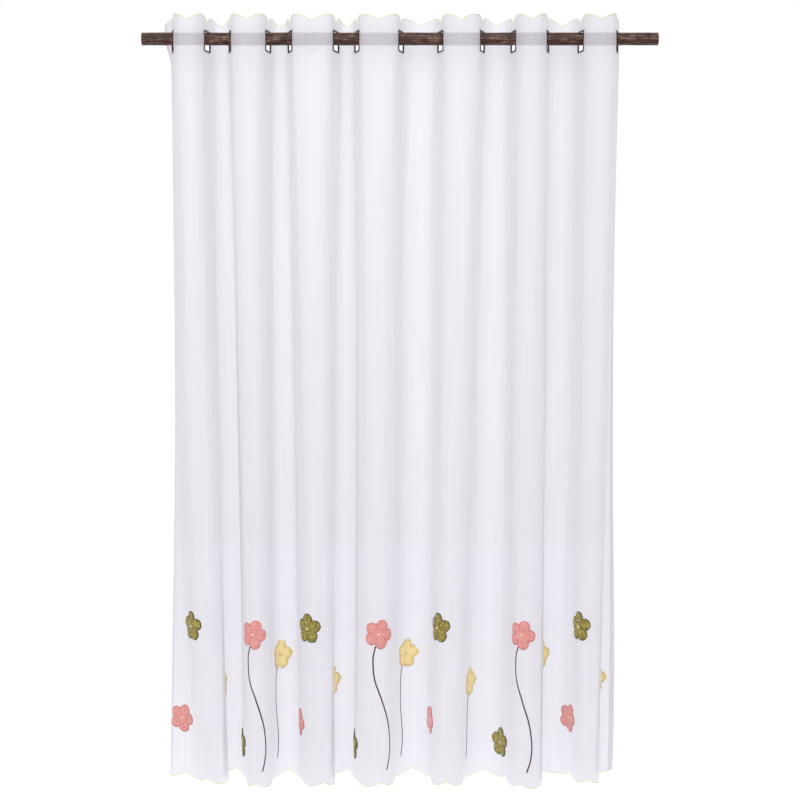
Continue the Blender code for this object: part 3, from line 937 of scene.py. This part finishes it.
def makeFlower(flower, repeat, across, settings, materials):
    bm = bmesh.new()
    outline = bm.verts.layers.float.new("outline")
    radius = flower.size / 2
    pad = settings["pad"][flower.colour]
    knot = settings["knot"][flower.colour]
    ragged = settings["ragged"][flower.colour]
    turn = math.radians(90 - flower.turn)
    random.seed(f"{flower.name}{repeat}")
    wander = random.uniform(0, 50)
    steps = settings["around"]

    def spotAt(share, angle):
        # A point of the flower: its place in shares of the radius, and across and up the flat cloth
        reach = petalEdge(angle, settings) * share
        x, y = reach * math.cos(angle), reach * math.sin(angle)
        rough = 1 + ragged * noise.noise(Vector((x * 4, y * 4, wander)))
        rough += ragged * noise.noise(Vector((x * 11, y * 11, wander)))
        flatX = across + radius * rough * (x * math.cos(turn) - y * math.sin(turn))
        flatZ = radius * rough * (x * math.sin(turn) + y * math.cos(turn)) - flower.drop
        return x, y, flatX, flatZ

    def heightAt(x, y, share):
        inside = petalShape(x, y, settings)
        grooved = min(1.0, inside * 3.2) ** 0.5
        lump = 0.12 * noise.noise(Vector((x * 5, y * 5, wander + 9)))
        dip = 1 - 0.4 * math.exp(-((math.hypot(x, y) * radius / (knot * 1.6)) ** 2))
        return settings["base"] + pad * (grooved + lump) * dip * (1 - smoothRamp(share, 0.93, 1.0)), inside

    rows = []
    for ring in range(1, settings["rings"] + 1):
        share = (ring / settings["rings"]) ** 0.8
        row = []
        for step in range(steps):
            x, y, flatX, flatZ = spotAt(share, 2 * math.pi * step / steps)
            out, inside = heightAt(x, y, share)
            row.append(bm.verts.new(onCloth(flatX, flatZ, out)))
            # The outline value darkens the fleece near the petals' edges and in the grooves between them: partly a
            # darker cut edge, partly painted shade in the grooves
            row[-1][outline] = min(1.0, inside * 4.2)
        rows.append(row)
    x, y, flatX, flatZ = spotAt(0.0, 0.0)
    middle = bm.verts.new(onCloth(flatX, flatZ, heightAt(0.0, 0.0, 0.0)[0]))
    middle[outline] = 1.0
    for step in range(steps):
        bm.faces.new((middle, rows[0][step], rows[0][(step + 1) % steps]))
    # The cut edge goes down to the cloth
    foot = []
    for step in range(steps):
        x, y, flatX, flatZ = spotAt(1.0, 2 * math.pi * step / steps)
        foot.append(bm.verts.new(onCloth(flatX, flatZ, 0.15)))
    rows.append(foot)
    for inner, outer in zip(rows, rows[1:]):
        for step in range(steps):
            after = (step + 1) % steps
            bm.faces.new((inner[step], outer[step], outer[after], inner[after]))
    padFaces = len(bm.faces)
    # The knot is a coil of small stitches
    coil = []
    for step in range(49):
        angle = 2 * math.pi * step / 12
        reach = knot * (1 - step / 60)
        coil.append((across + reach * math.cos(angle), reach * math.sin(angle) - flower.drop, settings["base"] + 1.1 + step / 40))
    addThread(bm, coil, 1.2, 1.0, 1.8)
    knotFaces = len(bm.faces)
    # A close row of stitches holds the edge down
    width = settings["edgeThread"][flower.colour]
    if width:
        border = []
        for step in range(settings["edgeSteps"] + 1):
            x, y, flatX, flatZ = spotAt(settings["edgeShare"], 2 * math.pi * step / settings["edgeSteps"])
            border.append((flatX, flatZ, settings["base"] + 0.35 * pad))
        addThread(bm, border, width, 1.0, 1.7)
    # Short loose fibres make the brushed flowers' soft edge
    for _ in range(settings["fibres"][flower.colour]):
        angle, share = random.uniform(0, 2 * math.pi), random.uniform(0.88, 1.0)
        x, y, flatX, flatZ = spotAt(share, angle)
        lean = turn + angle + random.uniform(-0.9, 0.9)
        length = random.uniform(3.0, 6.5)
        rise = heightAt(x, y, share)[0]
        hair = []
        for part in (0.0, 0.5, 1.0):
            bend = lean + 0.8 * part * math.sin(angle * 7)
            off = length * part
            hair.append((flatX + off * math.cos(bend), flatZ + off * math.sin(bend), rise + 1.2 * math.sin(part * 2.2)))
        addThread(bm, hair, 0.7, 0.4, 20.0, 3)
    bm.faces.ensure_lookup_table()
    for face in bm.faces[padFaces:knotFaces]:
        face.material_index = 1
    for face in bm.faces[knotFaces:]:
        face.material_index = 2
    bmesh.ops.recalc_face_normals(bm, faces=bm.faces)
    piece = newPiece(f"flower{flower.name.title().replace('_', '')}{repeat + 1}", bm, flower.colour, materials)
    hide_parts(f"flower_{flower.name}_{repeat + 1}")
    return piece


def fleeceMaterial(name, edgeAndShadeHex, darkHex, lightHex, pile, sheen):
    # Sheared polyester fleece: soft and matt, mottled where the pile leans, darker towards the petals' outlines and in
    # the grooves between them, partly a darker cut edge and partly painted shade
    material, tree = newMaterial(name)
    outline = addNode(tree, "ShaderNodeAttribute", attribute_name="outline")
    place = addNode(tree, "ShaderNodeTexCoord")
    tufts = addNode(
        tree,
        "ShaderNodeTexNoise",
        {"Vector": place.outputs["Object"], "Scale": 1 / (pile * mm), "Detail": 3.0, "Roughness": 0.6},
    )
    tint = addNode(
        tree,
        "ShaderNodeValToRGB",
        {"Fac": tufts.outputs["Fac"]},
        ramp=((0.32, linearColour(darkHex)), (0.68, linearColour(lightHex))),
    )
    # Painted shade: the edge colour is laid along the petals' outlines and into the grooves between them
    edgeShadeMix = addNode(
        tree,
        "ShaderNodeMix",
        {"Factor": outline.outputs["Fac"], "A": linearColour(edgeAndShadeHex), "B": tint.outputs["Color"]},
        data_type="RGBA",
    )
    bump = addNode(tree, "ShaderNodeBump", {"Height": tufts.outputs["Fac"], "Strength": 0.5, "Distance": 0.4 * mm})
    shader = addNode(
        tree,
        "ShaderNodeBsdfPrincipled",
        {
            "Base Color": edgeShadeMix.outputs["Result"],
            "Roughness": 0.9,
            "IOR": 1.5,
            "Sheen Weight": sheen,
            "Sheen Roughness": 0.5,
            "Normal": bump.outputs["Normal"],
        },
    )
    finishMaterial(tree, shader.outputs[0])
    return material


flowerFinishes = {
    "pink": [
        fleeceMaterial("rosePinkFleece", "C67674", "DE8884", "F8B6B0", 4.0, 0.2),
        threadMaterial("creamThread", "F6E2B4", "FDF2CC", 2.0),
        threadMaterial("rosePinkThread", "C97A7A", "E49490", 2.5),
    ],
    "olive": [
        fleeceMaterial("oliveFleece", "3C380F", "635C1E", "C2B660", 5.0, 0.15),
        threadMaterial("paleStrawThread", "F2ECC0", "FCF8DC", 2.0),
        threadMaterial("oliveThread", "454314", "6C6826", 2.5),
    ],
    "yellow": [
        fleeceMaterial("butterYellowFleece", "FFCC74", "FFE48E", "FFF6BE", 4.5, 0.3),
        threadMaterial("greyRoseThread", "C09F92", "DEC2AE", 2.0),
        threadMaterial("butterYellowFibre", "FFEC98", "FFF8C6", 3.0),
    ],
}
for flower, repeat, across in flowerPlaces():
    makeFlower(flower, repeat, across, petalSet, flowerFinishes[flower.colour])


# Floor and light
lightSet = {
    "floorHeight": -1.76,
    "floorSize": 4.6,
    "floorMiddle": 2.2,
    "skyStrength": 0.69,
    "skyLean": 0.34,
    "lowAir": "FFF3EE",
    "highAir": "EFF3FF",
    "skyTowards": (0.0, 0.25, 0.9),
    "windowPlace": (-0.3, 1.4, 0.35),
    "windowAim": (-0.1, 0.0, -0.45),
    "windowPower": 9.0,
    "windowSize": 1.8,
    "keyPlace": (-0.3, -2.0, 0.5),
    "keyAim": (-0.05, 0.0, -0.5),
    "keyPower": 41.0,
    "keySize": 2.6,
    "lampColour": (0.93, 0.96, 1.0),
}


def makeStudio(settings):
    bm = bmesh.new()
    half = settings["floorSize"] / 2
    bmesh.ops.create_grid(bm, x_segments=1, y_segments=1, size=half)
    mesh = bpy.data.meshes.new("studioFloor")
    bm.to_mesh(mesh)
    bm.free()
    floor = bpy.data.objects.new("studioFloor", mesh)
    floor.location = (0.0, settings["floorMiddle"], settings["floorHeight"])
    bpy.context.collection.objects.link(floor)
    material, tree = newMaterial("mattWhiteVinyl")
    shader = addNode(
        tree,
        "ShaderNodeBsdfPrincipled",
        {
            "Base Color": linearColour("FAFAFA"),
            "Roughness": 0.9,
            "Emission Color": (1.0, 1.0, 1.0, 1.0),
            "Emission Strength": 0.25,
        },
    )
    finishMaterial(tree, shader.outputs[0])
    mesh.materials.append(material)
    world = bpy.data.worlds.new("softWhiteRoom")
    world.use_nodes = True
    tree = world.node_tree
    tree.nodes.clear()
    white = (1.0, 1.0, 1.0, 1.0)
    path = addNode(tree, "ShaderNodeLightPath")
    # The room is brighter behind the curtain and above, as in front of a lit white wall
    way = addNode(tree, "ShaderNodeTexCoord")
    towards = addNode(
        tree,
        "ShaderNodeVectorMath",
        {0: way.outputs["Generated"], 1: Vector(settings["skyTowards"]).normalized()},
        operation="DOT_PRODUCT",
    )
    level = addNode(
        tree,
        "ShaderNodeMath",
        {0: towards.outputs["Value"], 1: settings["skyLean"], 2: settings["skyStrength"]},
        operation="MULTIPLY_ADD",
    )
    air = addNode(
        tree,
        "ShaderNodeValToRGB",
        {"Fac": towards.outputs["Value"]},
        ramp=((0.0, linearColour(settings["lowAir"])), (1.0, linearColour(settings["highAir"]))),
    )
    room = addNode(tree, "ShaderNodeBackground", {"Color": air.outputs["Color"], "Strength": level.outputs[0]})
    paper = addNode(tree, "ShaderNodeBackground", {"Color": white, "Strength": 1.0})
    shown = addNode(
        tree, "ShaderNodeMixShader", {"Fac": path.outputs["Is Camera Ray"], 1: room.outputs[0], 2: paper.outputs[0]}
    )
    addNode(tree, "ShaderNodeOutputWorld", {"Surface": shown.outputs[0]})
    bpy.context.scene.world = world
    for name in ("window", "key"):
        data = bpy.data.lights.new(name + "Softbox", "AREA")
        data.energy = settings[name + "Power"]
        data.size = settings[name + "Size"]
        data.color = settings["lampColour"]
        lamp = bpy.data.objects.new(name + "Softbox", data)
        lamp.location = settings[name + "Place"]
        lamp.visible_camera = False
        aim = Vector(settings[name + "Aim"]) - lamp.location
        lamp.rotation_euler = aim.to_track_quat("-Z", "Y").to_euler()
        bpy.context.collection.objects.link(lamp)
    bpy.context.scene.view_settings.view_transform = "Standard"


makeStudio(lightSet)
print("studio lit")
